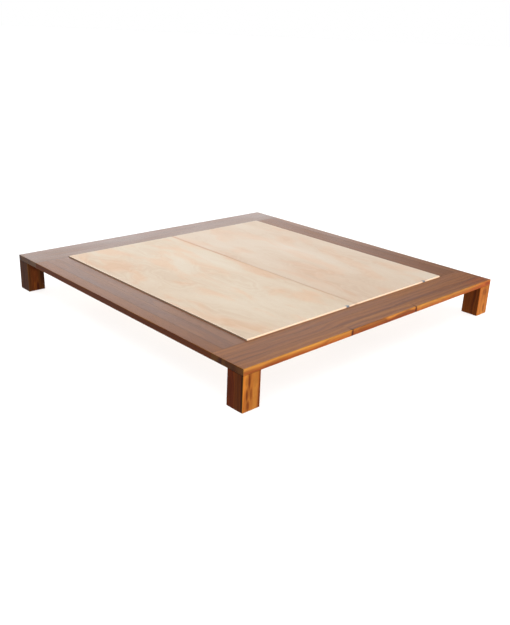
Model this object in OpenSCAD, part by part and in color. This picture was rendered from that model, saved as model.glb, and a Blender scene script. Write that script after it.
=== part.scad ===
// Low platform bed frame: a border of glued-up boards on four corner legs, with a hidden
// frame of aprons, bearers and battens that carries two lift-out plywood panels.
// Origin: on the floor, under the middle of the frame. +Y points to the head end.

/* [Frame] */
// Width across the foot end
frame_w = 2100; // [1700:10:2200]
// Length from foot to head
frame_l = 2150; // [1960:10:2300]
// Height from the floor to the top of the border
frame_h = 225; // [200:1:320]

/* [Border boards] */
// Width of each of the three staves in a border board
stave_w = 75; // [74:0.5:80]
// Thickness of the border boards
board_t = 34; // [30:1:40]
// Radius of the eased outer arrises
arris_r = 3; // [2:0.5:5]
// First seam in the foot board's outer stave, as a share of its length
seam_a = 0.357; // [0.2:0.001:0.45]
// Second seam in the foot board's outer stave, as a share of its length
seam_b = 0.62; // [0.55:0.001:0.8]

/* [Legs and aprons] */
// Side of the square legs
leg_side = 110; // [104:1:112]
// Thickness of the aprons
apron_t = 34; // [28:1:36]
// Depth of the aprons
apron_h = 45; // [42:1:60]

/* [Deck] */
// Side of the square bearers
bearer_side = 60; // [56:1:64]
// Width of the cross battens
batten_w = 70; // [50:5:90]
// Thickness of the plywood panels
panel_t = 12; // [12:1:18]
// Height of the panels' top above the border's top
panel_proud = 6; // [3:0.5:8]
// Gap between the panels and the border
panel_gap = 3; // [2.5:0.5:5]
// Gap between the two panels
panel_split = 2; // [1:0.5:4]
// Place of the left panel's lift tab, from the middle (0) to the side board (1)
left_tab_share = 0.084; // [0.05:0.001:0.9]
// Place of the right panel's lift tab, from the middle (0) to the side board (1)
right_tab_share = 0.788; // [0.05:0.001:0.9]

/* [Hidden] */

$fn = 32;
clear = 0.05;                              // radial play of a dowel, bolt or screw in its hole

// Levels above the floor
glide_t = 2;
board_under = frame_h - board_t;           // also the top of legs, aprons and bearers
batten_t = board_t + panel_proud - panel_t;
panel_under = board_under + batten_t;
panel_top = panel_under + panel_t;
fixing_z = board_under - 22;               // bolts and bracket screws

// Plan sizes, measured from the middle
board_w = 3 * stave_w;
half_w = frame_w / 2;
half_l = frame_l / 2;
open_x = half_w - board_w;                 // inner edges of the side boards
open_y = half_l - board_w;                 // inner edges of the end boards
leg_in_x = half_w - leg_side;              // inner faces of legs and side aprons
leg_in_y = half_l - leg_side;              // inner faces of legs and end aprons

// Dowels
dowel_r = 6;
dowel_l = 80;
leg_dowel_r = 7;
leg_dowel_l = 50;
leg_dowel_in_y = 38;                       // from the end board's outer edge
leg_dowel_in_x = [30, 78];                 // from the end board's end
foot_side = 60;
foot_top = board_under - bearer_side;
glide_r = 25;

// Screws: length, shank radius, head radius
board_screw_size = [60, 2.5, 5];
batten_screw_size = [48, 2.25, 4.5];
bracket_screw_size = [22, 2, 3.8];
tab_screw_size = [10, 1.5, 2.7];
tip_l = 5;
board_screw_z = board_under - 40;          // underside of the heads, sunk in their counterbores
apron_screw_shares = [-0.36, -0.18, 0, 0.18, 0.36];
bearer_screw_shares = [-0.3, -0.1, 0.1, 0.3];
bearer_screw_x = open_x + bearer_side / 4; // under the side board's inner edge
end_screw_y = open_y + 30;                 // where a bearer passes under an end board

// Battens
batten_n = 7;
batten_y0 = -open_y + batten_w / 2;
batten_pitch = (2 * open_y - batten_w) / (batten_n - 1);
batten_screw_x = [-open_x + bearer_side / 4, 0, open_x - bearer_side / 4];

// Steel corner bracket and its hanger bolt, measured from the inner corner of the aprons
bracket_t = 2.5;
bracket_h = 36;
bracket_reach = 45;                        // where the slanting web meets the aprons
bracket_wing = 76;                         // far end of each wing
wing_screw_at = 63;
wing_screw_dz = 10;
leg_chamfer = 16;
bolt_r = 4;
bolt_l = 100;
bolt_start = -49;                          // end of the bolt inside the leg, along the diagonal
web_face = bracket_reach / sqrt(2) + bracket_t;
washer_t = 1.5;
washer_r = 8.5;
nut_t = 6.5;
nut_r = 7.5;

// Angle bracket between bearer and end apron
angle_t = 2;
angle_leg = 42;
angle_screws_at = [15, 32];

// Lift tab: a folded strap let into the panel's foot edge
tab_w = 24;
tab_t = 1.2;
tab_depth = 14;
tab_sink = 0.2;                            // below the panel's top
tab_screw_dx = 6;
tab_screw_in = 7;
tab_play = 0.2;
left_tab_x = left_tab_share * open_x;
right_tab_x = right_tab_share * open_x;
panel_foot_y = -open_y + panel_gap;

// ---- placing ----

module to_head() { mirror([0, 1, 0]) children(); }

module to_right() { mirror([1, 0, 0]) children(); }

module both_ends() {
    children();
    to_head() children();
}

module both_sides() {
    children();
    to_right() children();
}

// From a frame whose origin is the aprons' inner corner, with the leg at -X, -Y
module at_corner() { translate([-leg_in_x, -leg_in_y, 0]) children(); }

// Lays an extrusion along X, its section's width along Y
module along_x() { rotate([90, 0, 90]) children(); }

// ---- fasteners ----

// Countersunk screw along +Z, its head's face at z = 0; play widens it into its hole
module screw(size, play = 0) {
    shank_r = size[1] + play;
    head_r = size[2] + play;
    head_h = size[2] - size[1];
    cylinder(h = head_h, r1 = head_r, r2 = shank_r);
    cylinder(h = size[0] - tip_l, r = shank_r);
    translate([0, 0, size[0] - tip_l]) cylinder(h = tip_l + play, r1 = shank_r, r2 = 0.4 + play);
}

// Hole for a board screw, with the counterbore below its head
module board_screw_hole() {
    screw(board_screw_size, clear);
    translate([0, 0, -bearer_side]) cylinder(h = bearer_side, r = board_screw_size[2] + 1);
}

module end_apron_screw_places() {
    for (s = apron_screw_shares)
        translate([s * 2 * leg_in_x, -leg_in_y - apron_t / 2, board_screw_z]) children();
}

module left_apron_screw_places() {
    for (s = apron_screw_shares)
        translate([-leg_in_x - apron_t / 2, s * 2 * leg_in_y, board_screw_z]) children();
}

module left_bearer_screw_places() {
    for (s = bearer_screw_shares)
        translate([-bearer_screw_x, s * 2 * open_y, board_screw_z]) children();
}

module bearer_end_screw_places() {
    for (x = [-open_x, 0, open_x])
        translate([x, -end_screw_y, board_screw_z]) children();
}

module batten_screw_places() {
    for (i = [0:batten_n - 1], x = batten_screw_x)
        translate([x, batten_y0 + i * batten_pitch, panel_under - 0.5]) mirror([0, 0, 1]) children();
}

// Bracket screws point away from the bracket's room side, into the timber
module wing_screw_places() {
    at_corner() for (dz = [-wing_screw_dz, wing_screw_dz]) {
        translate([wing_screw_at, bracket_t, fixing_z + dz]) rotate([90, 0, 0]) children();
        translate([bracket_t, wing_screw_at, fixing_z + dz]) rotate([0, -90, 0]) children();
    }
}

// Angle bracket at the foot end of a bearer whose inner face is at x = face
module angle_screw_places(face) {
    for (a = angle_screws_at) {
        translate([face + a, -leg_in_y + angle_t, fixing_z]) rotate([90, 0, 0]) children();
        translate([face + angle_t, -leg_in_y + a, fixing_z]) rotate([0, -90, 0]) children();
    }
}

left_bearer_face = -open_x + bearer_side / 2;
centre_bearer_face = bearer_side / 2;

module left_angle_screw_places() { angle_screw_places(left_bearer_face) children(); }

module centre_angle_screw_places() { angle_screw_places(centre_bearer_face) children(); }

module along_bolt() {
    at_corner() translate([0, 0, fixing_z]) rotate([0, 90, 45]) children();
}

// Hole for the hanger bolt, in its leg and across the inner corner of the aprons
module bolt_hole() {
    along_bolt() translate([0, 0, bolt_start - clear]) cylinder(h = bolt_l, r = bolt_r + clear);
}

module board_dowel_places() {
    for (k = [0:2])
        translate([-half_w + (k + 0.5) * stave_w, -open_y - dowel_l / 2, board_under + board_t / 2])
            rotate([-90, 0, 0]) children();
}

module leg_dowel_places() {
    for (x = leg_dowel_in_x)
        translate([-half_w + x, -half_l + leg_dowel_in_y, board_under - leg_dowel_l / 2]) children();
}

module dowel(r, l, play = 0) {
    translate([0, 0, -play]) cylinder(h = l + 2 * play, r = r + play);
}

// ---- timber ----

// Section of a stave, its outer edge at x = 0; an outer stave has both arrises eased
module stave_section(outer) {
    if (outer) {
        translate([arris_r, 0]) square([stave_w - arris_r, board_t]);
        translate([0, arris_r]) square([arris_r, board_t - 2 * arris_r]);
        for (y = [arris_r, board_t - arris_r]) translate([arris_r, y]) circle(r = arris_r);
    } else {
        square([stave_w, board_t]);
    }
}

module eased_square(side, r) {
    translate([-side / 2 + r, -side / 2]) square([side - 2 * r, side]);
    translate([-side / 2, -side / 2 + r]) square([side, side - 2 * r]);
    for (x = [-1, 1], y = [-1, 1]) translate([x * (side / 2 - r), y * (side / 2 - r)]) circle(r = r);
}

// Stave k of the foot board (0 outer, 2 inner), from x0 to x1
module end_stave(k, x0 = -half_w, x1 = half_w) {
    difference() {
        translate([x0, -half_l + k * stave_w, board_under])
            along_x() linear_extrude(x1 - x0) stave_section(k == 0);
        if (k == 0) both_sides() leg_dowel_places() dowel(leg_dowel_r, leg_dowel_l, clear);
        if (k == 1) end_apron_screw_places() board_screw_hole();
        if (k == 2) {
            both_sides() board_dowel_places() dowel(dowel_r, dowel_l, clear);
            bearer_end_screw_places() board_screw_hole();
        }
    }
}

// Stave k of the left board (0 outer, 2 inner), between the end boards
module side_stave(k) {
    difference() {
        translate([-half_w + k * stave_w, open_y, board_under])
            rotate([90, 0, 0]) linear_extrude(2 * open_y) stave_section(k == 0);
        both_ends() board_dowel_places() dowel(dowel_r, dowel_l, clear);
        if (k == 1) left_apron_screw_places() board_screw_hole();
        if (k == 2) left_bearer_screw_places() board_screw_hole();
    }
}

// Leg at the foot end's left corner, chamfered behind its corner bracket
module leg() {
    difference() {
        translate([-half_w + leg_side / 2, -half_l + leg_side / 2, glide_t])
            linear_extrude(board_under - glide_t) eased_square(leg_side, arris_r);
        at_corner() translate([0, 0, board_under - apron_h]) linear_extrude(apron_h + 1)
            polygon([[1, 1], [-leg_chamfer - 1, 1], [1, -leg_chamfer - 1]]);
        bolt_hole();
        leg_dowel_places() dowel(leg_dowel_r, leg_dowel_l, clear);
    }
}

module end_apron() {
    difference() {
        translate([-leg_in_x, -leg_in_y - apron_t, board_under - apron_h])
            cube([2 * leg_in_x, apron_t, apron_h]);
        end_apron_screw_places() board_screw_hole();
        both_sides() bolt_hole();
        both_sides() wing_screw_places() screw(bracket_screw_size, clear);
        both_sides() left_angle_screw_places() screw(bracket_screw_size, clear);
        centre_angle_screw_places() screw(bracket_screw_size, clear);
    }
}

module side_apron() {
    difference() {
        translate([-leg_in_x - apron_t, -leg_in_y, board_under - apron_h])
            cube([apron_t, 2 * leg_in_y, apron_h]);
        left_apron_screw_places() board_screw_hole();
        both_ends() bolt_hole();
        both_ends() wing_screw_places() screw(bracket_screw_size, clear);
    }
}

module bearer_bar(x) {
    translate([x - bearer_side / 2, -leg_in_y, foot_top]) cube([bearer_side, 2 * leg_in_y, bearer_side]);
}

module side_bearer() {
    difference() {
        bearer_bar(-open_x);
        left_bearer_screw_places() board_screw_hole();
        both_ends() bearer_end_screw_places() board_screw_hole();
        both_ends() left_angle_screw_places() screw(bracket_screw_size, clear);
        batten_screw_places() screw(batten_screw_size, clear);
    }
}

module middle_bearer() {
    difference() {
        bearer_bar(0);
        both_ends() bearer_end_screw_places() board_screw_hole();
        both_ends() centre_angle_screw_places() screw(bracket_screw_size, clear);
        batten_screw_places() screw(batten_screw_size, clear);
        centre_dowel(clear);
    }
}

module centre_dowel(play = 0) {
    translate([0, 0, foot_top - leg_dowel_l / 2]) dowel(leg_dowel_r, leg_dowel_l, play);
}

module middle_foot() {
    difference() {
        translate([0, 0, glide_t]) linear_extrude(foot_top - glide_t) eased_square(foot_side, arris_r);
        centre_dowel(clear);
    }
}

module batten(i) {
    difference() {
        translate([-open_x, batten_y0 + i * batten_pitch - batten_w / 2, board_under])
            cube([2 * open_x, batten_w, batten_t]);
        batten_screw_places() screw(batten_screw_size, clear);
        batten_screw_places() translate([0, 0, -1])
            cylinder(h = 1 + clear, r = batten_screw_size[2] + clear);
    }
}

// ---- deck panels ----

module tab_screw_places(x) {
    for (dx = [-tab_screw_dx, tab_screw_dx])
        translate([x + dx, panel_foot_y + tab_screw_in, panel_top - tab_sink]) mirror([0, 0, 1]) children();
}

// Panel from x0 to x1, with the seat of a lift tab at tab_x
module panel(x0, x1, tab_x) {
    seat_w = tab_w + 2 * tab_play;
    seat_h = tab_t + tab_sink;
    difference() {
        translate([x0, panel_foot_y, panel_under]) cube([x1 - x0, -2 * panel_foot_y, panel_t]);
        translate([tab_x - seat_w / 2, panel_foot_y - 1, panel_top - seat_h])
            cube([seat_w, tab_depth + tab_play + 1, seat_h + 1]);
        tab_screw_places(tab_x) screw(tab_screw_size, clear);
    }
}

module lift_tab(x) {
    top = panel_top - tab_sink;
    web_h = top - panel_under - 1;
    difference() {
        translate([x - tab_w / 2, panel_foot_y, 0]) {
            translate([0, 0, top - tab_t]) cube([tab_w, tab_depth, tab_t]);
            translate([0, -tab_t, top - web_h]) cube([tab_w, tab_t, web_h]);
        }
        tab_screw_places(x) screw(tab_screw_size, clear);
    }
}

// ---- steel ----

module corner_bracket() {
    bend = bracket_reach + bracket_t * tan(22.5);
    difference() {
        at_corner() translate([0, 0, fixing_z - bracket_h / 2]) linear_extrude(bracket_h) polygon([
            [bracket_wing, 0], [bracket_wing, bracket_t], [bend, bracket_t], [bracket_t, bend],
            [bracket_t, bracket_wing], [0, bracket_wing], [0, bracket_reach], [bracket_reach, 0]
        ]);
        along_bolt() cylinder(h = bolt_l, r = bolt_r + 0.5);
        wing_screw_places() screw(bracket_screw_size, clear);
    }
}

module ring_on_bolt(start, h, r, sides) {
    along_bolt() translate([0, 0, start]) difference() {
        cylinder(h = h, r = r, $fn = sides);
        translate([0, 0, -1]) cylinder(h = h + 2, r = bolt_r + clear);
    }
}

module angle_bracket(face) {
    translate([face, -leg_in_y, fixing_z - bracket_h / 2]) {
        cube([angle_leg, angle_t, bracket_h]);
        cube([angle_t, angle_leg, bracket_h]);
    }
}

module left_angle_bracket() {
    difference() {
        angle_bracket(left_bearer_face);
        left_angle_screw_places() screw(bracket_screw_size, clear);
    }
}

module centre_angle_bracket() {
    difference() {
        angle_bracket(centre_bearer_face);
        centre_angle_screw_places() screw(bracket_screw_size, clear);
    }
}

// ---- the nodes ----

module timber() { color("#a5713f") children(); }

module inner_timber() { color("#c9a877") children(); }

module plywood() { color("#e5cfb6") children(); }

module steel() { color("#b9bdc2") children(); }

module foot_board_inner_stave() { timber() end_stave(2); }
module foot_board_middle_stave() { timber() end_stave(1); }
module foot_board_outer_stave_left() { timber() end_stave(0, -half_w, -half_w + seam_a * frame_w); }
module foot_board_outer_stave_centre() {
    timber() end_stave(0, -half_w + seam_a * frame_w, -half_w + seam_b * frame_w);
}
module foot_board_outer_stave_right() { timber() end_stave(0, -half_w + seam_b * frame_w, half_w); }
module head_board_inner_stave() { timber() to_head() end_stave(2); }
module head_board_middle_stave() { timber() to_head() end_stave(1); }
module head_board_outer_stave() { timber() to_head() end_stave(0); }
module left_board_inner_stave() { timber() side_stave(2); }
module left_board_middle_stave() { timber() side_stave(1); }
module left_board_outer_stave() { timber() side_stave(0); }
module right_board_inner_stave() { timber() to_right() side_stave(2); }
module right_board_middle_stave() { timber() to_right() side_stave(1); }
module right_board_outer_stave() { timber() to_right() side_stave(0); }
module leg_foot_left() { timber() leg(); }
module leg_foot_right() { timber() to_right() leg(); }
module leg_head_left() { timber() to_head() leg(); }
module leg_head_right() { timber() to_head() to_right() leg(); }
module foot_apron() { inner_timber() end_apron(); }
module head_apron() { inner_timber() to_head() end_apron(); }
module left_apron() { inner_timber() side_apron(); }
module right_apron() { inner_timber() to_right() side_apron(); }
module left_bearer() { inner_timber() side_bearer(); }
module centre_bearer() { inner_timber() middle_bearer(); }
module right_bearer() { inner_timber() to_right() side_bearer(); }
module centre_foot() { inner_timber() middle_foot(); }
module cross_batten(i) { inner_timber() batten(i); }
module left_panel() { plywood() panel(-open_x + panel_gap, -panel_split / 2, -left_tab_x); }
module right_panel() { plywood() panel(panel_split / 2, open_x - panel_gap, right_tab_x); }
module left_lift_tab() { steel() lift_tab(-left_tab_x); }
module right_lift_tab() { steel() lift_tab(right_tab_x); }
module left_tab_screws() { steel() tab_screw_places(-left_tab_x) screw(tab_screw_size); }
module right_tab_screws() { steel() tab_screw_places(right_tab_x) screw(tab_screw_size); }
module corner_bracket_foot_left() { steel() corner_bracket(); }
module corner_bracket_foot_right() { steel() to_right() corner_bracket(); }
module corner_bracket_head_left() { steel() to_head() corner_bracket(); }
module corner_bracket_head_right() { steel() to_head() to_right() corner_bracket(); }

module hanger_bolt() {
    along_bolt() translate([0, 0, bolt_start]) cylinder(h = bolt_l, r = bolt_r);
}

module hanger_bolts() { steel() both_ends() both_sides() hanger_bolt(); }

module hanger_washers() {
    steel() both_ends() both_sides() ring_on_bolt(web_face, washer_t, washer_r, $fn);
}

module hanger_nuts() {
    steel() both_ends() both_sides() ring_on_bolt(web_face + washer_t, nut_t, nut_r, 6);
}

module bearer_brackets() {
    steel() both_ends() {
        both_sides() left_angle_bracket();
        centre_angle_bracket();
    }
}

module bracket_screws() {
    steel() both_ends() {
        both_sides() wing_screw_places() screw(bracket_screw_size);
        both_sides() left_angle_screw_places() screw(bracket_screw_size);
        centre_angle_screw_places() screw(bracket_screw_size);
    }
}

module board_screws() {
    steel() {
        both_ends() end_apron_screw_places() screw(board_screw_size);
        both_ends() bearer_end_screw_places() screw(board_screw_size);
        both_sides() left_apron_screw_places() screw(board_screw_size);
        both_sides() left_bearer_screw_places() screw(board_screw_size);
    }
}

module batten_screws() { steel() batten_screw_places() screw(batten_screw_size); }

module board_dowels() {
    inner_timber() both_ends() both_sides() board_dowel_places() dowel(dowel_r, dowel_l);
}

module leg_dowels() {
    inner_timber() {
        both_ends() both_sides() leg_dowel_places() dowel(leg_dowel_r, leg_dowel_l);
        centre_dowel();
    }
}

module leg_glides() {
    color("#2b2a28") {
        both_ends() both_sides() translate([-half_w + leg_side / 2, -half_l + leg_side / 2, 0])
            cylinder(h = glide_t, r = glide_r);
        cylinder(h = glide_t, r = glide_r);
    }
}

foot_board_inner_stave();
foot_board_middle_stave();
foot_board_outer_stave_left();
foot_board_outer_stave_centre();
foot_board_outer_stave_right();
head_board_inner_stave();
head_board_middle_stave();
head_board_outer_stave();
left_board_inner_stave();
left_board_middle_stave();
left_board_outer_stave();
right_board_inner_stave();
right_board_middle_stave();
right_board_outer_stave();
leg_foot_left();
leg_foot_right();
leg_head_left();
leg_head_right();
foot_apron();
head_apron();
left_apron();
right_apron();
left_bearer();
centre_bearer();
right_bearer();
centre_foot();
cross_batten(0);  // cross_batten_1
cross_batten(1);  // cross_batten_2
cross_batten(2);  // cross_batten_3
cross_batten(3);  // cross_batten_4
cross_batten(4);  // cross_batten_5
cross_batten(5);  // cross_batten_6
cross_batten(6);  // cross_batten_7
left_panel();
right_panel();
left_lift_tab();
right_lift_tab();
left_tab_screws();
right_tab_screws();
corner_bracket_foot_left();
corner_bracket_foot_right();
corner_bracket_head_left();
corner_bracket_head_right();
hanger_bolts();
hanger_washers();
hanger_nuts();
bearer_brackets();
bracket_screws();
board_screws();
batten_screws();
board_dowels();
leg_dowels();
leg_glides();
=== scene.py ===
"""Looks of a low platform bed frame: eased hardwood staves and legs, plywood deck, plain steel.

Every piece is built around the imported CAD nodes, in metres, in their frame: +Z up, +Y to the head.
"""

import math

import bmesh
import bpy
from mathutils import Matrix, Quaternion, Vector, noise

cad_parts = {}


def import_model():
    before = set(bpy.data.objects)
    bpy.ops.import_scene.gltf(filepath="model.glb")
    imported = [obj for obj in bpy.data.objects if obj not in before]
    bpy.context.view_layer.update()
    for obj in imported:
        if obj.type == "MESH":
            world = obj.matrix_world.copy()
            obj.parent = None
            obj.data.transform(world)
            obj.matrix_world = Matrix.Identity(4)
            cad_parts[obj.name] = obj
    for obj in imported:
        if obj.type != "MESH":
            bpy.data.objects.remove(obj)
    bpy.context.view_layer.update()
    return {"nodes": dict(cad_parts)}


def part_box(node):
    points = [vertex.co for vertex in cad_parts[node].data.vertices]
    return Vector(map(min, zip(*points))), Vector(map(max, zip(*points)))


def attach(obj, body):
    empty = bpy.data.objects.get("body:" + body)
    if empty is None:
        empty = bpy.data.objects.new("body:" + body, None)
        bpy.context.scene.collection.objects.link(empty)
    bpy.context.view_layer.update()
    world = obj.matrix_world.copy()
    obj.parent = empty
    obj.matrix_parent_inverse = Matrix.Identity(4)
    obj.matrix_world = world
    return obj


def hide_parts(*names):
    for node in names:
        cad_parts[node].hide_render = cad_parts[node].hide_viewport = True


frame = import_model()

MM = 0.001
X, Y, Z = 0, 1, 2

# ---- sizes ----

ARRIS = 3.0 * MM            # eased upper arris of the boards, and the legs' long arrises
LOWER_ARRIS = 2.0 * MM      # eased lower arris of the boards, and the legs' feet
INNER_ARRIS = 1.5 * MM      # edge of the border around the panels
SEAM = 0.35 * MM            # glued or butted joint
LEG_TOP = 0.8 * MM
SOFT_EDGE = 1.2 * MM        # an edge rounder than this is an arris, not a joint
GUARD = 2.5 * MM            # where a face becomes flat next to its arris
EASE_RUN = 1.0 * MM         # on each side of the place where an inner edge starts to be eased
RING_PITCH = 60 * MM
ARC_STEPS = 4
WEAR = 0.22                 # how much an arris's radius wanders

# ---- timber bars ----


def end_rings(radius):
    """(distance from the end, inset) of the rings that round off a bar's end."""
    turns = [math.radians(90 * k / ARC_STEPS) for k in range(ARC_STEPS + 1)]
    return [(radius * (1 - math.cos(t)), radius * (1 - math.sin(t))) for t in turns]


def stations(start, stop, end_radii, extra):
    """(position, inset, kind of the end it rounds) of each ring along a bar."""
    kinds = ["arris" if radius > SOFT_EDGE else "seam" for radius in end_radii]
    first = [(start + d, inset, kinds[0]) for d, inset in end_rings(end_radii[0])]
    last = [(stop - d, inset, kinds[1]) for d, inset in reversed(end_rings(end_radii[1]))]
    low, high = first[-1][0], last[0][0]
    count = max(2, round((high - low) / RING_PITCH))
    steps = [low + (high - low) * k / count for k in range(1, count)]
    steps += [s for s in extra if low < s < high]
    return first + [(s, 0.0, "") for s in sorted(steps)] + last


def profile(rect, radii, along, seed):
    """Points of a rounded rectangle, counter-clockwise, each with its kind: face, arris or seam.
    A guard point on each side of a corner keeps the face beside it flat."""
    (p0, p1), (q0, q1) = rect
    points = []
    for index, (p, q) in enumerate(((p0, q0), (p1, q0), (p1, q1), (p0, q1))):
        radius = radii[index](along) if callable(radii[index]) else radii[index]
        kind = "arris" if radius > SOFT_EDGE else "seam"
        if kind == "arris":
            radius *= 1 + WEAR * noise.noise(Vector((along * 9.0, index * 7.3, seed * 3.1)))
        centre_p = p + radius if p == p0 else p - radius
        centre_q = q + radius if q == q0 else q - radius
        angles = [math.radians(180 + 90 * index + 90 * k / ARC_STEPS) for k in range(ARC_STEPS + 1)]
        arc = [(centre_p + radius * math.cos(a), centre_q + radius * math.sin(a), kind) for a in angles]
        guards = [(p_at - run * math.sin(a), q_at + run * math.cos(a), "face")
                  for (p_at, q_at, _), a, run in ((arc[0], angles[0], -GUARD),
                                                  (arc[-1], angles[-1], GUARD))]
        points += [guards[0], *arc, guards[1]]
    return points


def new_object(name, bm):
    """An object in the scene from a bmesh, smooth, its normals weighted towards the flat faces."""
    bmesh.ops.recalc_face_normals(bm, faces=bm.faces)
    for face in bm.faces:
        face.smooth = True
    mesh = bpy.data.meshes.new(name)
    bm.to_mesh(mesh)
    bm.free()
    piece = bpy.data.objects.new(name, mesh)
    bpy.context.scene.collection.objects.link(piece)
    piece.modifiers.new("weighted", "WEIGHTED_NORMAL").weight = 100
    return piece


def bar(name, box, axis, radii, exposed, end_radii, seed, extra=()):
    """A bar with eased edges. radii: one for each long edge, counter-clockwise from the low corner of
    the two cross axes. exposed: 1 where the low and high face across each is eased at the ends."""
    low, high = box
    cross = [a for a in (X, Y, Z) if a != axis]
    bm = bmesh.new()
    marks = {kind: bm.verts.layers.float.new(kind) for kind in ("arris", "seam")}
    rings = []
    for along, inset, end_kind in stations(low[axis], high[axis], end_radii, extra):
        rect = [(low[a] + inset * exposed[2 * n], high[a] - inset * exposed[2 * n + 1])
                for n, a in enumerate(cross)]
        ring = []
        for p, q, kind in profile(rect, radii, along, seed):
            co = Vector((0, 0, 0))
            co[axis], co[cross[0]], co[cross[1]] = along, p, q
            vert = bm.verts.new(co)
            if inset > 0:
                kind = end_kind
            if kind in marks:
                vert[marks[kind]] = 1.0
            ring.append(vert)
        rings.append(ring)
    for one, two in zip(rings, rings[1:]):
        for j in range(len(one)):
            k = (j + 1) % len(one)
            bm.faces.new((one[j], one[k], two[k], two[j]))
    bm.faces.new(rings[0])
    bm.faces.new(rings[-1])
    return new_object(name, bm)


# ---- material nodes ----


def add(tree, kind, inputs=None, **settings):
    """A new node; inputs are numbers, colours or the sockets to link from."""
    made = tree.nodes.new(kind)
    for key, value in settings.items():
        setattr(made, key, value)
    for key, value in (inputs or {}).items():
        if isinstance(value, bpy.types.NodeSocket):
            tree.links.new(value, made.inputs[key])
        else:
            made.inputs[key].default_value = value
    return made


def calc(tree, operation, a, b=0.0, c=0.0):
    return add(tree, "ShaderNodeMath", {0: a, 1: b, 2: c}, operation=operation).outputs[0]


def times(tree, a, b):
    return calc(tree, "MULTIPLY", a, b)


def flipped(tree, value):
    return calc(tree, "SUBTRACT", 1.0, value)


def linear(tree, value, slope, offset):
    """value x slope + offset"""
    return calc(tree, "MULTIPLY_ADD", value, slope, offset)


def weighted(tree, base, *terms):
    """The base plus a sum of (signal, weight) pairs."""
    total = base
    for signal, weight in terms:
        total = linear(tree, signal, weight, total)
    return total


def vec(tree, operation, a, b=(0, 0, 0)):
    made = add(tree, "ShaderNodeVectorMath", {0: a, 1: b}, operation=operation)
    return made.outputs["Value" if operation in ("LENGTH", "DOT_PRODUCT") else "Vector"]


def stretched(tree, place, factors):
    return vec(tree, "MULTIPLY", place, factors)


def noise_node(tree, place, factors, detail):
    """factors: a frequency for all axes, in 1/m, or one for each axis."""
    if isinstance(factors, tuple):
        place, factors = stretched(tree, place, factors), 1.0
    return add(tree, "ShaderNodeTexNoise",
               {"Vector": place, "Scale": factors, "Detail": detail, "Roughness": 0.5})


def noise_at(tree, place, factors, detail=2.0):
    return noise_node(tree, place, factors, detail).outputs["Fac"]


def drift_at(tree, place, factors, detail, reach):
    """A wandering offset, up to half of reach along each axis."""
    noisy = noise_node(tree, place, factors, detail).outputs["Color"]
    return stretched(tree, vec(tree, "SUBTRACT", noisy, (0.5, 0.5, 0.5)), reach)


def noise_line(tree, value, detail):
    made = add(tree, "ShaderNodeTexNoise",
               {"W": value, "Scale": 1.0, "Detail": detail, "Roughness": 0.5}, noise_dimensions="1D")
    return made.outputs["Fac"]


def ramp(tree, value, stops):
    made = add(tree, "ShaderNodeValToRGB", {"Fac": value})
    band = made.color_ramp
    while len(band.elements) < len(stops):
        band.elements.new(0.5)
    for element, (place, colour) in zip(band.elements, stops):
        element.position = place
        element.color = (*colour, 1)
    return made.outputs["Color"]


def step(tree, value, low, high):
    """0 below low, 1 above high, smooth between."""
    made = add(tree, "ShaderNodeMapRange", {"Value": value, "From Min": low, "From Max": high},
               interpolation_type="SMOOTHSTEP")
    return made.outputs["Result"]


FACTOR, COLOUR_A, COLOUR_B, COLOUR_OUT = 0, 6, 7, 2     # sockets of a Mix node set to colours


def blend(tree, mode, factor, a, b):
    made = add(tree, "ShaderNodeMix", {FACTOR: factor, COLOUR_A: a, COLOUR_B: b},
               data_type="RGBA", blend_type=mode)
    return made.outputs[COLOUR_OUT]


def tinted(tree, colour, factor, tint):
    """The colour, multiplied by the tint as far as the factor says."""
    return blend(tree, "MULTIPLY", factor, colour, tint)


def coordinates(tree, kind="Object"):
    return add(tree, "ShaderNodeTexCoord").outputs[kind]


def part(tree, vector, axis):
    return add(tree, "ShaderNodeSeparateXYZ", {"Vector": vector}).outputs[axis]


def mark(tree, name):
    return add(tree, "ShaderNodeAttribute", attribute_name=name).outputs["Fac"]


def new_material(name):
    material = bpy.data.materials.new(name)
    material.use_nodes = True
    tree = material.node_tree
    shader = tree.nodes["Principled BSDF"]
    return material, tree, shader


def finish_shader(tree, shader, colour, roughness, height, bump_distance, bump_strength):
    tree.links.new(colour, shader.inputs["Base Color"])
    tree.links.new(roughness, shader.inputs["Roughness"])
    bump = add(tree, "ShaderNodeBump",
               {"Height": height, "Distance": bump_distance, "Strength": bump_strength})
    tree.links.new(bump.outputs["Normal"], shader.inputs["Normal"])


# ---- timber ----

TURN_TO_GRAIN = {X: (0, -math.pi / 2, 0), Y: (math.pi / 2, 0, 0), Z: (0, 0, 0)}
DIRECTION = {X: (1, 0, 0), Y: (0, 1, 0), Z: (0, 0, 1)}

# Palettes: (place on the ramp, colour), the darkest rings first.
HEARTWOOD = [(0.28, (0.046, 0.0110, 0.0025)), (0.40, (0.110, 0.0290, 0.0048)),
             (0.50, (0.176, 0.0560, 0.0085)), (0.60, (0.232, 0.0840, 0.0130)),
             (0.73, (0.330, 0.1420, 0.0230))]
INNER_WOOD = [(0.30, (0.25, 0.14, 0.065)), (0.45, (0.36, 0.22, 0.11)), (0.58, (0.45, 0.29, 0.155)),
              (0.72, (0.52, 0.36, 0.21))]
DOWEL_WOOD = [(0.35, (0.50, 0.33, 0.17)), (0.65, (0.64, 0.46, 0.27))]
PORE_TINT = (0.25, 0.25, 0.25, 1)
SEAM_TINT = (0.25, 0.25, 0.25, 1)
END_GRAIN_TINT = (0.50, 0.34, 0.26, 1)

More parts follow.
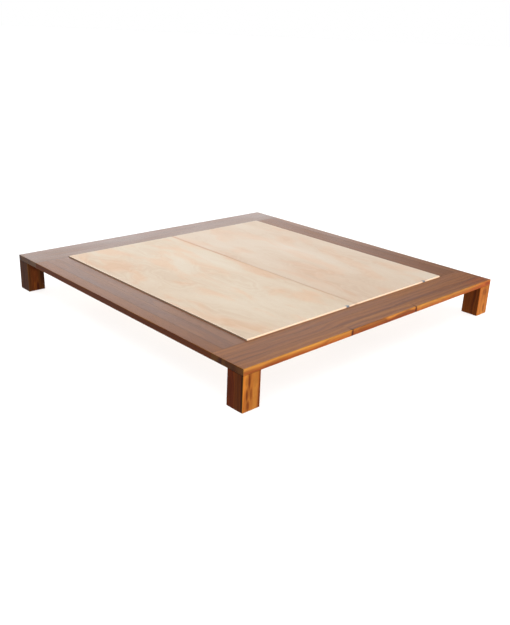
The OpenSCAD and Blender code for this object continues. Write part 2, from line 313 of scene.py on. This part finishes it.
# Frequencies in 1/m: across the grain twice, then along it.
WOOD_DRIFT = (5.0, 5.0, 1.5)
WOOD_FIBRES = (800, 800, 9)
WOOD_PORES = (1500, 1500, 34)
WOOD_CLOUDS = (9, 9, 2.2)
ZONES_PER_M = 36.0          # wide light and dark zones, out from the pith
RINGS_PER_M = 210.0         # growth rings, out from the pith
RING_WANDER = 60 * MM
SPOT_WANDER = 0.2           # how much of the rings' wander a spot follows


def grain_space(tree, axis, centre):
    """Coordinates with the grain along Z and the piece's centre at the origin."""
    moved = vec(tree, "SUBTRACT", coordinates(tree), centre)
    turned = add(tree, "ShaderNodeMapping", {"Vector": moved, "Rotation": TURN_TO_GRAIN[axis]})
    return turned.outputs["Vector"]


def facing(tree, direction):
    """1 on faces that look along a direction or against it."""
    along = vec(tree, "DOT_PRODUCT", coordinates(tree, "Normal"), direction)
    return step(tree, calc(tree, "ABSOLUTE", along), 0.6, 0.9)


def spotted(tree, colour, place, spots):
    """Tints ellipsoids of the timber, each fading out from 0.35 of its radii to 1."""
    for centre, radii, strength, tint in spots:
        off = vec(tree, "DIVIDE", vec(tree, "SUBTRACT", place, centre), radii)
        inside = flipped(tree, step(tree, vec(tree, "LENGTH", off), 0.35, 1.0))
        colour = tinted(tree, colour, times(tree, inside, strength), tint)
    return colour


def growth(tree, wavy, pith, seed):
    """Wide zones and narrow bands of the growth rings around a pith line outside the piece."""
    from_pith = stretched(tree, vec(tree, "SUBTRACT", wavy, (*pith, 0)), (1, 1, 0))
    radius = vec(tree, "LENGTH", from_pith)
    zones = noise_line(tree, linear(tree, radius, ZONES_PER_M, seed * 5.1), 1.0)
    bands = noise_line(tree, linear(tree, radius, RINGS_PER_M, seed * 9.7), 3.0)
    return zones, bands


def timber(name, axis, centre, seed, palette=HEARTWOOD, pith=(0.02, -0.16), tone=1.0, contrast=1.0,
           wave=1.0, gloss=0.15, spots=(), lacquer=True):
    """Solid wood. spots: (centre, radii, strength, tint) of patches, in grain space."""
    material, tree, shader = new_material(name)
    grain = grain_space(tree, axis, centre)
    seeded = vec(tree, "ADD", grain, (seed * 1.37, seed * 2.11, seed * 0.73))
    drift = drift_at(tree, seeded, WOOD_DRIFT, 3.0, (RING_WANDER * wave, RING_WANDER * wave, 0.0))
    zones, bands = growth(tree, vec(tree, "ADD", grain, drift), pith, seed)
    fibres = noise_at(tree, seeded, WOOD_FIBRES, 3.0)
    pores = step(tree, noise_at(tree, seeded, WOOD_PORES, 1.0), 0.60, 0.68)
    clouds = noise_at(tree, seeded, WOOD_CLOUDS, 2.0)

    value = weighted(tree, 0.0, (bands, 0.20), (zones, 0.46), (fibres, 0.12), (clouds, 0.22))
    value = linear(tree, value, contrast, 0.5 * (1 - contrast))
    colour = ramp(tree, value, [(place, tuple(tone * c for c in rgb)) for place, rgb in palette])
    near_grain = vec(tree, "ADD", grain, stretched(tree, drift, (SPOT_WANDER, SPOT_WANDER, 0)))
    colour = spotted(tree, colour, near_grain, spots)
    colour = tinted(tree, colour, times(tree, pores, 0.45), PORE_TINT)
    colour = tinted(tree, colour, facing(tree, DIRECTION[axis]), END_GRAIN_TINT)
    colour = tinted(tree, colour, times(tree, mark(tree, "seam"), 0.6), SEAM_TINT)
    # painted highlight: the eased arrises are lightened in patches toward the lightest colour of the
    # palette
    arris_highlight = times(tree, mark(tree, "arris"), step(tree, clouds, 0.35, 0.6))
    lightest = (*palette[-1][1], 1)
    colour = blend(tree, "MIX", times(tree, arris_highlight, 0.35), colour, lightest)

    rough = weighted(tree, 0.22 if lacquer else 0.46, (fibres, 0.12), (clouds, 0.16), (pores, 0.10))
    height = weighted(tree, fibres, (bands, 0.35), (pores, -0.8))
    finish_shader(tree, shader, colour, rough, height, 0.12 * MM, 0.45 if lacquer else 0.8)
    shader.inputs["Specular IOR Level"].default_value = gloss
    return material


# ---- plywood ----

VENEER = [(0.30, (0.52, 0.385, 0.270)), (0.42, (0.57, 0.450, 0.330)), (0.54, (0.615, 0.525, 0.41)),
          (0.66, (0.64, 0.580, 0.48))]
PEACH_BLOTCH = (1.03, 0.865, 0.76, 1)
BLUSH = (0.975, 0.94, 0.955, 1)
FLECK = (0.62, 0.42, 0.28, 1)
# painted highlight of the panels' eased top edges
PAINTED_RIM_HIGHLIGHT = (0.80, 0.63, 0.49, 1)
SEAM_STAIN = (0.88, 0.70, 0.60, 1)
PLY_EDGE = (0.56, 0.48, 0.42, 1)
PLIES = 7

# Frequencies in 1/m: across the face grain, along it, through the sheet.
VENEER_DRIFT = (3.0, 1.2, 1)
VENEER_WANDER = (0.32, 0.45, 0)
VENEER_FLAME = (5.5, 1.5, 1)
VENEER_FIBRES = (320, 9, 320)
VENEER_PATCHES = (2.2, 1.1, 1)
VENEER_BLOTCHES = (8, 2.8, 1)
VENEER_FLECKS = (600, 60, 600)
LINES_IN_FLAME = 34.0


def rim(tree, place, low, high):
    """1 along the outer edges of a panel, and 1 along the seam at x = 0 between the two panels."""
    half = (high - low) / 2
    off = vec(tree, "ABSOLUTE", vec(tree, "SUBTRACT", place, (low + high) / 2))
    inward = vec(tree, "SUBTRACT", half, off)
    nearest = calc(tree, "MINIMUM", part(tree, inward, "X"), part(tree, inward, "Y"))
    across = calc(tree, "ABSOLUTE", part(tree, place, "X"))
    edge = flipped(tree, step(tree, nearest, 2 * MM, 8 * MM))
    seam = flipped(tree, step(tree, across, 5 * MM, 20 * MM))
    return times(tree, edge, flipped(tree, seam)), seam


def ply_edge(tree, place, low, high):
    """1 on the darkest plies of an edge, every other ply; more on the Y-facing edges than the X-facing
    ones, which is painted shade on the key-lit -Y edges and painted light on the shaded -X edges.
    """
    up = calc(tree, "SUBTRACT", part(tree, place, "Z"), low.z)
    layer = calc(tree, "DIVIDE", up, (high.z - low.z) / PLIES)
    cross_ply = calc(tree, "GREATER_THAN", calc(tree, "MODULO", layer, 2.0), 1.0)
    on_edge = flipped(tree, facing(tree, DIRECTION[Z]))
    # painted light and shade: the Y-facing edges, lit by the key, get more darkening than the shaded
    # X-facing edges
    on_edge = times(tree, on_edge, linear(tree, facing(tree, DIRECTION[Y]), 0.8, 0.2))
    return times(tree, on_edge, linear(tree, cross_ply, 0.30, 0.70))


def plywood(name, seed, box, blush, blotchy):
    """Rotary-cut veneer with a soft flame figure; the plies show on the edges."""
    material, tree, shader = new_material(name)
    low, high = box
    place = coordinates(tree)
    seeded = vec(tree, "ADD", place, (seed * 1.9, seed * 3.3, 0))
    wavy = vec(tree, "ADD", seeded, drift_at(tree, seeded, VENEER_DRIFT, 2.0, VENEER_WANDER))
    flame = noise_at(tree, wavy, VENEER_FLAME, 3.0)
    lines = noise_line(tree, linear(tree, flame, LINES_IN_FLAME, seed), 2.0)
    fibres = noise_at(tree, seeded, VENEER_FIBRES, 3.0)
    patches = noise_at(tree, seeded, VENEER_PATCHES, 2.0)
    blotches = step(tree, noise_at(tree, wavy, VENEER_BLOTCHES, 3.0), 0.46, 0.66)
    flecks = step(tree, noise_at(tree, seeded, VENEER_FLECKS, 1.0), 0.66, 0.74)

    value = weighted(tree, 0.0, (lines, 0.16), (flame, 0.38), (fibres, 0.12), (patches, 0.34))
    colour = tinted(tree, ramp(tree, value, VENEER), blush, BLUSH)
    colour = tinted(tree, colour, times(tree, blotches, blotchy), PEACH_BLOTCH)
    colour = tinted(tree, colour, times(tree, flecks, 0.22), FLECK)
    edge, seam = rim(tree, place, low, high)
    # painted highlight: a band 2 to 8 mm in from each panel's outer edges is lightened toward a pale
    # peach
    colour = blend(tree, "MIX", times(tree, edge, 0.85), colour, PAINTED_RIM_HIGHLIGHT)
    colour = tinted(tree, colour, times(tree, seam, step(tree, patches, 0.2, 0.6)), SEAM_STAIN)
    colour = tinted(tree, colour, ply_edge(tree, place, low, high), PLY_EDGE)

    rough = linear(tree, fibres, 0.20, 0.42)
    height = weighted(tree, fibres, (flecks, -0.5))
    finish_shader(tree, shader, colour, rough, height, 0.10 * MM, 0.5)
    return material


# ---- metal and plastic ----


def steel(name, colour, roughness, seed):
    """Lightly brushed steel with duller patches."""
    material, tree, shader = new_material(name)
    place = coordinates(tree)
    brushed = noise_at(tree, place, (900, 60, 900))
    patches = noise_at(tree, vec(tree, "ADD", place, (seed, 0, 0)), 60.0, 3.0)
    dull = step(tree, patches, 0.48, 0.70)
    tint = blend(tree, "MIX", dull, (*colour, 1), (*(c * 0.72 for c in colour), 1))
    rough = weighted(tree, roughness, (brushed, 0.16), (dull, 0.15))
    finish_shader(tree, shader, tint, rough, brushed, 0.03 * MM, 0.5)
    shader.inputs["Metallic"].default_value = 1.0
    return material


def nylon(name):
    """Black moulded plastic, greyer where it is scuffed."""
    material, tree, shader = new_material(name)
    place = coordinates(tree)
    grain = noise_at(tree, place, 900.0)
    scuffs = noise_at(tree, place, 90.0, 4.0)
    tint = blend(tree, "MIX", step(tree, scuffs, 0.5, 0.75),
                 (0.020, 0.019, 0.018, 1), (0.055, 0.052, 0.05, 1))
    finish_shader(tree, shader, tint, linear(tree, scuffs, 0.25, 0.45), grain, 0.05 * MM, 0.4)
    return material


# ---- border boards and legs ----

ROOT = "bed_frame"
OPEN_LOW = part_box("left_board_inner_stave")[1].x
OPEN_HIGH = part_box("right_board_inner_stave")[0].x


def middle(box):
    return (box[0] + box[1]) / 2


def dress(piece, node, body, material):
    """Gives a new piece its material and body, and hides the CAD node that it stands for."""
    piece.data.materials.append(material)
    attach(piece, body)
    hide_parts(node)


def opening_edge(along):
    """Radius of an end board's inner edge: eased at the panels, tight where a side board butts."""
    return INNER_ARRIS if OPEN_LOW < along < OPEN_HIGH else SEAM


OUTER, MIDDLE, INNER = 0, 1, 2      # a stave's place across its board


def end_board_stave(node, place, foot, ends, seed, pith, **look):
    """A stave along X. Its cross axes are Y and Z; the head board is the foot board's mirror."""
    under, outside = (LOWER_ARRIS, ARRIS) if place == OUTER else (SEAM, SEAM)
    inside = opening_edge if place == INNER else SEAM
    radii = [under, inside, inside, outside] if foot else [inside, under, outside, inside]
    outer_open = 1 if place == OUTER else 0
    exposed = (outer_open, 0, 1, 1) if foot else (0, outer_open, 1, 1)
    stops = [edge + run for edge in (OPEN_LOW, OPEN_HIGH) for run in (-EASE_RUN, EASE_RUN)]
    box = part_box(node)
    piece = bar(node + "_wood", box, X, radii, exposed, ends, seed, stops if place == INNER else ())
    dress(piece, node, ROOT, timber(node, X, middle(box), seed, pith=pith, **look))


def side_board_stave(node, place, left, seed, pith, **look):
    """A stave along Y, butted between the end boards. Its cross axes are X and Z."""
    outside = (LOWER_ARRIS, ARRIS) if place == OUTER else (SEAM, SEAM)
    inside = (INNER_ARRIS, INNER_ARRIS) if place == INNER else (SEAM, SEAM)
    low, high = (outside, inside) if left else (inside, outside)
    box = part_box(node)
    piece = bar(node + "_wood", box, Y, [low[0], high[0], high[1], low[1]], (0, 0, 1, 1),
                (SEAM, SEAM), seed)
    dress(piece, node, ROOT, timber(node, Y, middle(box), seed, pith=pith, **look))


# Tints of timber spots.
# dark flame figure on the legs, and also painted shadow under the board on the head-left leg
DARK_FLAME_AND_SHADE = (0.34, 0.16, 0.12, 1)
PALE_STREAK = (1.15, 1.35, 1.45, 1)
# partly sapwood, partly a painted highlight along the top of the foot board's front edge
SAPWOOD_AND_HIGHLIGHT = (1.35, 1.75, 2.0, 1)
RED_HEART = (0.92, 0.62, 0.50, 1)
GLUE_LINE = (0.22, 0.10, 0.09, 1)
END_TO_END = 9              # a radius far longer than any board
SIDE_STAVE_HALF = 0.0375    # half the width of a side board's outer stave


def front_edge(box):
    """A lighter yellow band along the top of the foot board's edge, partly sapwood and partly painted
    highlight; redder heartwood along its bottom.
    In grain space: -height, depth, length."""
    front = (box[0].y - box[1].y) / 2
    return [((-0.013, front, 0), (0.012, 0.012, END_TO_END), 0.75, SAPWOOD_AND_HIGHLIGHT),
            ((0.014, front, 0), (0.013, 0.012, END_TO_END), 0.75, RED_HEART)]


def butt_mark(box, end):
    """A dark glue line on the foot board's edge; end: -1 or 1."""
    half = (box[1] - box[0]) / 2
    return ((0, -half.y, end * half.x), (0.05, 0.03, 0.012), 1.0, GLUE_LINE)


def dark_edge(left):
    """Darker heartwood along a side board's outer edge. In grain space: across, -length, height."""
    outer = -SIDE_STAVE_HALF if left else SIDE_STAVE_HALF
    return [((outer, 0, 0), (0.006, 0.04, END_TO_END), 0.8, (0.83, 0.42, 0.10, 1))]


def foot_board():
    look = dict(tone=1.17, contrast=0.80, wave=2.0)
    end_board_stave("foot_board_inner_stave", INNER, True, (ARRIS, ARRIS), 1, (0.03, -0.12), **look)
    end_board_stave("foot_board_middle_stave", MIDDLE, True, (ARRIS, ARRIS), 2, (-0.02, -0.20), **look)
    left, centre, right = ["foot_board_outer_stave_" + place for place in ("left", "centre", "right")]
    box = {node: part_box(node) for node in (left, centre, right)}
    front = (box[centre][0].y - box[centre][1].y) / 2
    light_front = ((0, front, 0.06), (0.08, 0.012, 0.45), 0.8, (1.30, 1.28, 1.20, 1))
    red_end = [((0, 0, 0.40), (0.2, 0.2, 0.30), 0.8, RED_HEART),
               ((-0.013, front, 0.36), (0.014, 0.012, 0.11), 0.8, (0.75, 0.52, 0.45, 1)),
               ((0.003, front, 0.36), (0.014, 0.012, 0.035), 0.7, (0.60, 0.38, 0.30, 1))]
    marks = {left: [butt_mark(box[left], 1)],
             centre: [butt_mark(box[centre], -1), light_front, butt_mark(box[centre], 1)],
             right: [butt_mark(box[right], -1)] + red_end}
    rows = ((left, (ARRIS, SEAM), 3, (0.02, -0.10)), (centre, (SEAM, SEAM), 4, (-0.03, 0.12)),
            (right, (SEAM, ARRIS), 5, (0.01, -0.14)))
    for node, ends, seed, pith in rows:
        end_board_stave(node, OUTER, True, ends, seed, pith,
                        spots=front_edge(box[node]) + marks[node], **look)


def head_board():
    look = dict(tone=0.78, contrast=0.65, gloss=0.35)
    rows = (("inner", INNER, 6, (0.03, -0.15)), ("middle", MIDDLE, 7, (0.0, -0.12)),
            ("outer", OUTER, 8, (-0.03, -0.18)))
    for name, place, seed, pith in rows:
        end_board_stave(f"head_board_{name}_stave", place, False, (ARRIS, ARRIS), seed, pith, **look)


def side_boards():
    outer_gloss = 0.15
    for side, first_seed, tone, gloss in (("left", 9, 1.02, 0.27), ("right", 12, 0.97, 0.12)):
        left = side == "left"
        for place, name in enumerate(("outer", "middle", "inner")):
            node = f"{side}_board_{name}_stave"
            seed = first_seed + place
            side_board_stave(node, place, left, seed, (0.03 * math.sin(seed * 1.7), -0.14),
                             tone=tone * (1 + 0.02 * math.sin(seed * 2.3)), contrast=0.45,
                             gloss=outer_gloss if place == OUTER else gloss,
                             spots=dark_edge(left) if place == OUTER else ())


# In each leg's grain space, which is X, Y, height from its middle. Its foot-end face is at
# y = -0.055, and its left face at x = -0.055.
# The head legs' tones are partly painted light and shade, set for how bright they read in the bed's
# shade; the rest is the timber's own tone.
LEG_TONES = {"foot_left": 1.05, "foot_right": 1.30, "head_left": 0.95, "head_right": 0.90}
LEG_SPOTS = {
    "foot_left": [((0.047, 0, 0), (0.012, 0.2, 0.3), 0.9, DARK_FLAME_AND_SHADE),
                  ((-0.017, -0.06, 0.060), (0.009, 0.06, 0.055), 0.8, DARK_FLAME_AND_SHADE),
                  ((-0.029, -0.06, -0.008), (0.009, 0.06, 0.042), 0.8, DARK_FLAME_AND_SHADE),
                  ((-0.004, -0.06, -0.010), (0.011, 0.06, 0.045), 0.6, DARK_FLAME_AND_SHADE),
                  ((-0.021, -0.06, -0.066), (0.013, 0.06, 0.040), 0.8, DARK_FLAME_AND_SHADE),
                  ((0.020, -0.06, 0), (0.018, 0.06, 0.3), 0.7, PALE_STREAK),
                  # painted shade: a dark line down the vertical arris between the leg's left face and
                  # its foot-end face
                  ((-0.055, -0.050, 0), (0.003, 0.012, END_TO_END), 0.9, (0.15, 0.10, 0.08, 1)),
                  ((-0.034, -0.06, 0.060), (0.012, 0.06, 0.030), 0.4, DARK_FLAME_AND_SHADE),
                  ((-0.062, -0.030, 0), (0.020, 0.040, END_TO_END), 0.5, (0.70, 0.60, 0.50, 1)),
                  ((-0.062, 0.035, 0), (0.020, 0.050, END_TO_END), 0.8, (1.60, 1.20, 0.90, 1)),
                  # partly redder wood, partly painted shade: the left (-X) side, which faces away from
                  # the key light, is darkened
                  ((-0.062, 0, 0), (0.030, 0.2, 0.3), 0.8, (1.0, 0.62, 0.30, 1))],
    "foot_right": [((0.012, -0.06, -0.052), (0.014, 0.06, 0.045), 0.8, DARK_FLAME_AND_SHADE),
                   ((0.000, -0.06, 0.056), (0.030, 0.06, 0.034), 0.5, DARK_FLAME_AND_SHADE),
                   ((-0.045, -0.06, -0.040), (0.020, 0.03, 0.09), 0.7, PALE_STREAK),
                   ((-0.062, 0, 0), (0.030, 0.2, 0.3), 0.8, (1.15, 0.80, 0.65, 1))],
    # painted shade: the leg's left (-X) side, away from the key light, is darkened to about half
    "head_left": [((-0.062, 0, 0), (0.040, 0.2, 0.3), 0.8, (0.5, 0.38, 0.6, 1)),
                  # painted shadow of the board: the upper inner side and the top of the foot-end face
                  # are darkened
                  ((0.045, -0.06, 0.02), (0.025, 0.2, 0.12), 0.8, DARK_FLAME_AND_SHADE),
                  ((0.012, -0.06, 0.075), (0.060, 0.03, 0.050), 0.8, DARK_FLAME_AND_SHADE),
                  ((0.008, -0.06, -0.070), (0.011, 0.03, 0.050), 0.9, DARK_FLAME_AND_SHADE),
                  ((-0.012, -0.06, -0.062), (0.012, 0.03, 0.045), 0.8, (1.5, 1.8, 1.2, 1)),
                  # partly redder wood, partly painted light: the left half of the foot-end face, which
                  # lies in the board's shadow, is lightened
                  ((-0.012, -0.06, 0), (0.045, 0.03, 0.3), 0.8, (1.5, 0.95, 0.9, 1))],
    "head_right": []}


def legs():
    for seed, corner in enumerate(LEG_TONES, 20):
        node = "leg_" + corner
        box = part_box(node)
        piece = bar(node + "_wood", box, Z, [ARRIS] * 4, (1, 1, 1, 1), (LOWER_ARRIS, LEG_TOP), seed)
        material = timber(node, Z, middle(box), seed, pith=(0.01, 0.05), wave=1.5, contrast=1.3,
                          tone=LEG_TONES[corner], gloss=0.08, spots=LEG_SPOTS[corner])
        dress(piece, node, ROOT, material)


# ---- deck panels ----

TAB_PLAY = 0.2 * MM
TAB_SEAT = 1.4 * MM         # depth of the seat that a lift tab's flange lies in
PANEL_EASE = 0.7 * MM


def stepped_block(xs, ys, zs, gaps):
    """Bmesh of the cells between the given planes, without the cells in gaps."""
    bm = bmesh.new()
    verts = {}

    def vert(i, j, k):
        if (i, j, k) not in verts:
            verts[i, j, k] = bm.verts.new((xs[i], ys[j], zs[k]))
        return verts[i, j, k]

    def filled(i, j, k):
        inside = 0 <= i < len(xs) - 1 and 0 <= j < len(ys) - 1 and 0 <= k < len(zs) - 1
        return inside and (i, j, k) not in gaps

    sides = (((1, 0, 0), ((1, 0, 0), (1, 1, 0), (1, 1, 1), (1, 0, 1))),
             ((-1, 0, 0), ((0, 0, 0), (0, 0, 1), (0, 1, 1), (0, 1, 0))),
             ((0, 1, 0), ((0, 1, 0), (0, 1, 1), (1, 1, 1), (1, 1, 0))),
             ((0, -1, 0), ((0, 0, 0), (1, 0, 0), (1, 0, 1), (0, 0, 1))),
             ((0, 0, 1), ((0, 0, 1), (1, 0, 1), (1, 1, 1), (0, 1, 1))),
             ((0, 0, -1), ((0, 0, 0), (0, 1, 0), (1, 1, 0), (1, 0, 0))))
    for i in range(len(xs) - 1):
        for j in range(len(ys) - 1):
            for k in range(len(zs) - 1):
                if not filled(i, j, k):
                    continue
                for (di, dj, dk), corners in sides:
                    if not filled(i + di, j + dj, k + dk):
                        bm.faces.new([vert(i + a, j + b, k + c) for a, b, c in corners])
    return bm


def panel(side, seed, blush, blotchy):
    """A plywood panel with eased edges and the seat of its lift tab. blush: how pink its face is.
    blotchy: how strong its peach patches are."""
    node = side + "_panel"
    low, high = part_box(node)
    tab_low, tab_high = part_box(side + "_lift_tab")
    xs = [low.x, tab_low.x - TAB_PLAY, tab_high.x + TAB_PLAY, high.x]
    ys = [low.y, tab_high.y + TAB_PLAY, high.y]
    zs = [low.z, high.z - TAB_SEAT, high.z]
    seat = (1, 0, 1)
    piece = new_object(node + "_ply", stepped_block(xs, ys, zs, {seat}))
    piece.modifiers.remove(piece.modifiers["weighted"])
    ease(piece, PANEL_EASE)
    dress(piece, node, side + "_deck_panel", plywood(node, seed, (low, high), blush, blotchy))


def ease(piece, width):
    """Rounds every true edge of a piece."""
    rounded = piece.modifiers.new("eased", "BEVEL")
    rounded.width = width
    rounded.segments = 2
    rounded.limit_method = "ANGLE"
    rounded.angle_limit = math.radians(35)
    rounded.harden_normals = True


# ---- CAD nodes that keep their shape ----


def keep(node, material, width=0.0):
    """Gives a CAD node its material, and eased edges if it has a width for them."""
    piece = frame["nodes"][node]
    piece.data.materials.clear()
    piece.data.materials.append(material)
    if width:
        ease(piece, width)


def inner_frame():
    bars = [("foot_apron", X), ("head_apron", X), ("left_apron", Y), ("right_apron", Y),
            ("left_bearer", Y), ("centre_bearer", Y), ("right_bearer", Y), ("centre_foot", Z)]
    bars += [(node, X) for node in sorted(frame["nodes"]) if node.startswith("cross_batten_")]
    for seed, (node, axis) in enumerate(bars, 30):
        tone = 1.0 + 0.08 * math.sin(seed * 1.9)
        material = timber(node, axis, middle(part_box(node)), seed, palette=INNER_WOOD,
                          pith=(0.02, -0.05), tone=tone, lacquer=False)
        keep(node, material)
    dowels = timber("dowels", X, (0, 0, 0), 50, palette=DOWEL_WOOD, pith=(0.5, 0.5), lacquer=False)
    keep("board_dowels", dowels)
    keep("leg_dowels", dowels)


def hardware():
    bright = steel("zinc_screws", (0.62, 0.61, 0.58), 0.26, 1)
    plate = steel("zinc_plate", (0.56, 0.57, 0.58), 0.32, 2)
    bare = steel("bare_steel", (0.19, 0.23, 0.30), 0.30, 3)
    for node in ("hanger_bolts", "hanger_washers", "hanger_nuts", "bracket_screws", "board_screws",
                 "batten_screws", "left_tab_screws", "right_tab_screws"):
        keep(node, bright)
    keep("bearer_brackets", plate, 0.3 * MM)
    for corner in ("foot_left", "foot_right", "head_left", "head_right"):
        keep("corner_bracket_" + corner, plate, 0.3 * MM)
    for side in ("left", "right"):
        keep(side + "_lift_tab", bare, 0.25 * MM)
    keep("leg_glides", nylon("glide_nylon"), 0.4 * MM)


# ---- studio ----

CAMERA_AT = Vector((-3.023, -3.184, 1.620))
CAMERA_TOWARDS = Vector((0.64595, 0.67199, -0.3622))
CAMERA_ROLL = math.radians(2.467)
LENS_MM = 41.672
SENSOR_MM = 36
SIGHT = 200.0               # m, how far the camera sees
KEY_COMES_FROM = Vector((0.10, -0.95, 0.30))
KEY_STRENGTH = 7.4
KEY_COLOUR = (1.0, 0.97, 0.92)
KEY_WIDTH = 16              # degrees
FLOOR_SIZE = 400.0
FLOOR_DARK, FLOOR_LIGHT = (0.88, 0.88, 0.88, 1), (0.91, 0.91, 0.91, 1)
FLOOR_STRENGTH = 3.1        # a lamp for the floor alone, without shadows
FLOOR_WIDTH = 60            # degrees
FLOOR_GLOW = 0.55           # light that comes back up from the floor
ROOM = 0.42                 # brightness of the room all round
BACKDROP = 3.0              # extra brightness of the backdrop behind the head end
BACKDROP_TOWARDS = (math.sin(math.radians(20)), math.cos(math.radians(20)), 0)
BACKDROP_WIDTH = (44, 16)   # degrees from its middle where it starts, and where it is full
BACKDROP_TOP = (15, 29)     # degrees up where it starts to fade, and where it is gone


def camera():
    data = bpy.data.cameras.new("camera")
    data.lens = LENS_MM
    data.sensor_width = SENSOR_MM
    data.clip_end = SIGHT
    rig = bpy.data.objects.new("camera", data)
    rig.location = CAMERA_AT
    rig.rotation_mode = "QUATERNION"
    level = CAMERA_TOWARDS.to_track_quat("-Z", "Y")
    rig.rotation_quaternion = level @ Quaternion((0, 0, 1), CAMERA_ROLL)
    bpy.context.scene.collection.objects.link(rig)
    bpy.context.scene.camera = rig


def sun(name, comes_from, strength, width, colour, lit):
    """A distant lamp that lights only the objects in the lit collection."""
    data = bpy.data.lights.new(name, "SUN")
    data.energy = strength
    data.angle = math.radians(width)
    data.color = colour
    lamp = bpy.data.objects.new(name, data)
    lamp.location = comes_from * 10
    lamp.rotation_mode = "QUATERNION"
    lamp.rotation_quaternion = (-comes_from).to_track_quat("-Z", "Y")
    lamp.light_linking.receiver_collection = lit
    bpy.context.scene.collection.objects.link(lamp)
    return data


def linked(name, objects):
    group = bpy.data.collections.new(name)
    for one in objects:
        group.objects.link(one)
    return group


def floor():
    bm = bmesh.new()
    bmesh.ops.create_grid(bm, x_segments=8, y_segments=8, size=FLOOR_SIZE / 2)
    ground = new_object("studio_floor", bm)
    material, tree, shader = new_material("floor_paint")
    mottle = noise_at(tree, coordinates(tree), 3.0, 3.0)
    tint = blend(tree, "MIX", mottle, FLOOR_DARK, FLOOR_LIGHT)
    finish_shader(tree, shader, tint, linear(tree, mottle, 0.1, 0.75), mottle, 0.02 * MM, 0.2)
    shader.inputs["Specular IOR Level"].default_value = 0.0
    ground.data.materials.append(material)
    ground.visible_diffuse = False
    ground.visible_glossy = False
    return ground


def degrees_step(tree, value, turn, span):
    """0 to 1 between two angles in degrees, for a value that is their sine or cosine."""
    start, full = (turn(math.radians(angle)) for angle in span)
    return step(tree, value, start, full)


def backdrop(tree):
    """1 towards the bright backdrop, low behind the head end; and 1 above the horizon."""
    towards = coordinates(tree, "Generated")
    level = vec(tree, "NORMALIZE", stretched(tree, towards, (1, 1, 0)))
    off_middle = vec(tree, "DOT_PRODUCT", level, BACKDROP_TOWARDS)
    height = part(tree, towards, "Z")
    across = degrees_step(tree, off_middle, math.cos, BACKDROP_WIDTH)
    below = flipped(tree, degrees_step(tree, height, math.sin, BACKDROP_TOP))
    return times(tree, across, below), step(tree, height, -0.05, 0.0)


def world():
    """A soft grey room with a bright backdrop; the camera sees it as plain white."""
    sky = bpy.data.worlds.new("studio")
    sky.use_nodes = True
    tree = sky.node_tree
    tree.nodes.clear()
    panel_light, above = backdrop(tree)
    bright = times(tree, linear(tree, panel_light, BACKDROP, ROOM), above)
    bright = linear(tree, flipped(tree, above), FLOOR_GLOW, bright)
    room = add(tree, "ShaderNodeBackground", {"Color": (1, 1, 1, 1), "Strength": bright})
    white = add(tree, "ShaderNodeBackground", {"Color": (1, 1, 1, 1), "Strength": 1.0})
    seen = add(tree, "ShaderNodeLightPath").outputs["Is Camera Ray"]
    mixed = add(tree, "ShaderNodeMixShader", {0: seen, 1: room.outputs[0], 2: white.outputs[0]})
    add(tree, "ShaderNodeOutputWorld", {"Surface": mixed.outputs[0]})
    bpy.context.scene.world = sky


def studio():
    camera()
    bed = [one for one in bpy.data.objects if one.type == "MESH"]
    ground = floor()
    world()
    sun("key", KEY_COMES_FROM, KEY_STRENGTH, KEY_WIDTH, KEY_COLOUR, linked("lit_by_key", bed))
    floor_light = sun("floor_light", Vector((0, 0, 1)), FLOOR_STRENGTH, FLOOR_WIDTH, (1, 1, 1),
                      linked("lit_by_floor_light", [ground]))
    floor_light.use_shadow = False
    bpy.context.scene.view_settings.view_transform = "Standard"


foot_board()
head_board()
side_boards()
legs()
panel("left", seed=1, blush=0.2, blotchy=0.9)
panel("right", seed=2, blush=1.0, blotchy=0.6)
inner_frame()
hardware()
studio()
